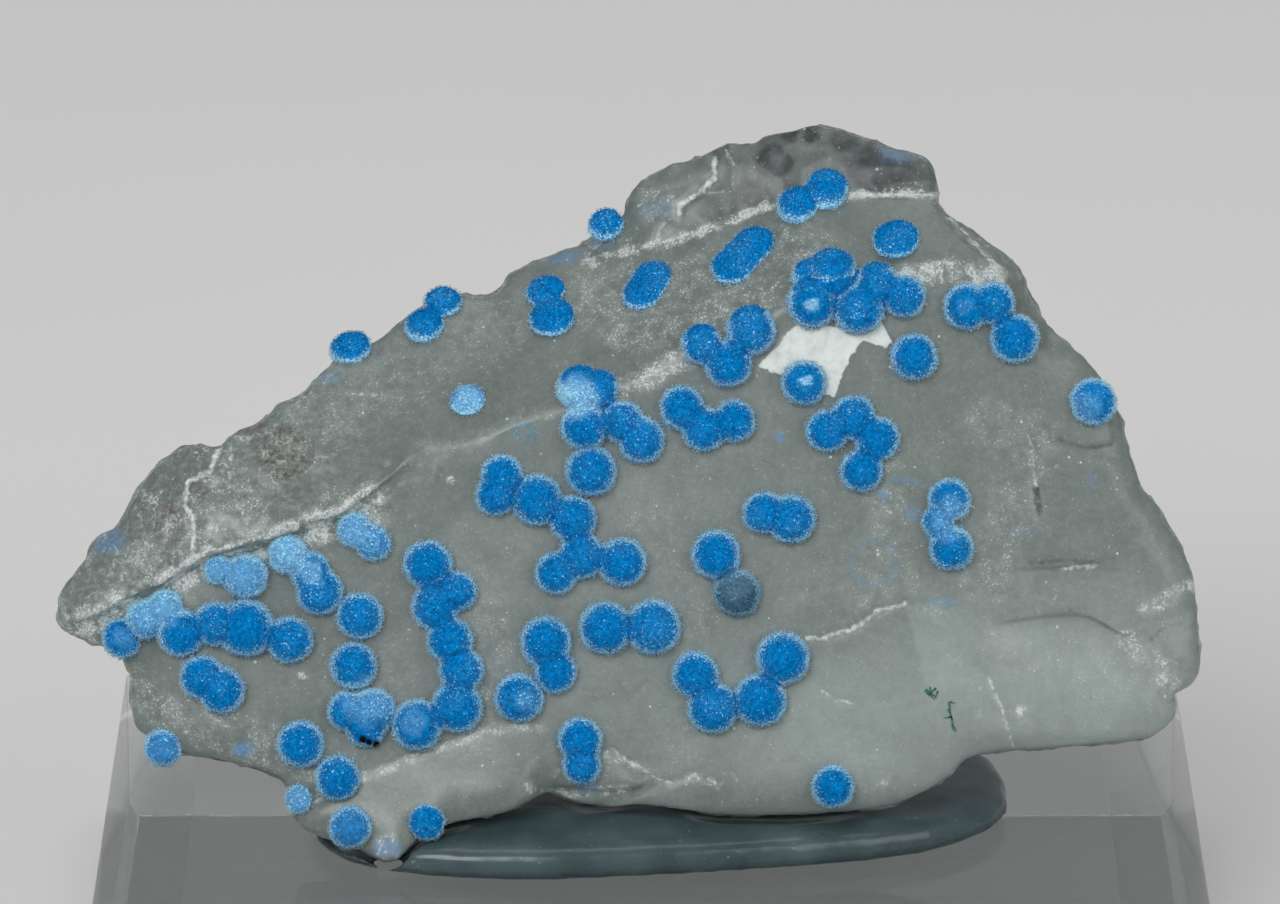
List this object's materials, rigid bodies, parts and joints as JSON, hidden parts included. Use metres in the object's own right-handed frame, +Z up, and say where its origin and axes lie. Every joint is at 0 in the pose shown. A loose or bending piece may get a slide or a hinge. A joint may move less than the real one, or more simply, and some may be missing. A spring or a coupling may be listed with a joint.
{
  "type": "shattuckite specimen",
  "caption": "Leaning quartz plate studded with blue velvety shattuckite balls, held upright in a putty pad on a clear bevelled acrylic block.",
  "frame": {"origin": "middle of the acrylic block's underside, on the surface that it stands on", "axes": "+Z up, +X to the right of the plate's front face, which looks towards -Y and leans back towards +Y"},
  "size_m": [0.0732, 0.071, 0.0574],
  "materials": {
    "quartz": "rough natural quartz, grey and cloudy, clearer along the crest",
    "shattuckite": "velvety blue, of fine needles, with pale frosted rims",
    "putty": "translucent grey-green, smooth and slightly glossy",
    "acrylic": "clear and polished"
  },
  "bodies": {
    "root": {"quartz_plate": "quartz", "shattuckite_balls_01": "shattuckite", "shattuckite_balls_02": "shattuckite", "shattuckite_balls_03": "shattuckite", "shattuckite_balls_04": "shattuckite", "shattuckite_balls_05": "shattuckite", "shattuckite_balls_06": "shattuckite", "shattuckite_balls_07": "shattuckite", "shattuckite_balls_08": "shattuckite", "shattuckite_balls_09": "shattuckite", "shattuckite_balls_10": "shattuckite", "shattuckite_balls_11": "shattuckite", "shattuckite_balls_12": "shattuckite", "shattuckite_balls_13": "shattuckite", "shattuckite_balls_14": "shattuckite", "shattuckite_balls_15": "shattuckite", "shattuckite_balls_16": "shattuckite", "shattuckite_balls_17": "shattuckite", "shattuckite_balls_18": "shattuckite", "shattuckite_balls_19": "shattuckite", "shattuckite_balls_20": "shattuckite", "shattuckite_balls_21": "shattuckite", "shattuckite_balls_22": "shattuckite", "shattuckite_balls_23": "shattuckite", "shattuckite_balls_24": "shattuckite", "shattuckite_balls_25": "shattuckite", "shattuckite_balls_26": "shattuckite", "shattuckite_balls_27": "shattuckite", "shattuckite_balls_28": "shattuckite", "shattuckite_balls_29": "shattuckite", "shattuckite_balls_30": "shattuckite", "shattuckite_balls_31": "shattuckite", "shattuckite_balls_32": "shattuckite", "shattuckite_balls_33": "shattuckite", "shattuckite_balls_34": "shattuckite", "shattuckite_balls_35": "shattuckite", "shattuckite_balls_36": "shattuckite", "shattuckite_balls_37": "shattuckite", "shattuckite_balls_38": "shattuckite", "shattuckite_balls_39": "shattuckite", "shattuckite_balls_40": "shattuckite", "shattuckite_balls_41": "shattuckite", "shattuckite_balls_42": "shattuckite", "shattuckite_balls_43": "shattuckite", "shattuckite_balls_44": "shattuckite", "putty_pad": "putty", "acrylic_block": "acrylic"}
  },
  "joints": []
}
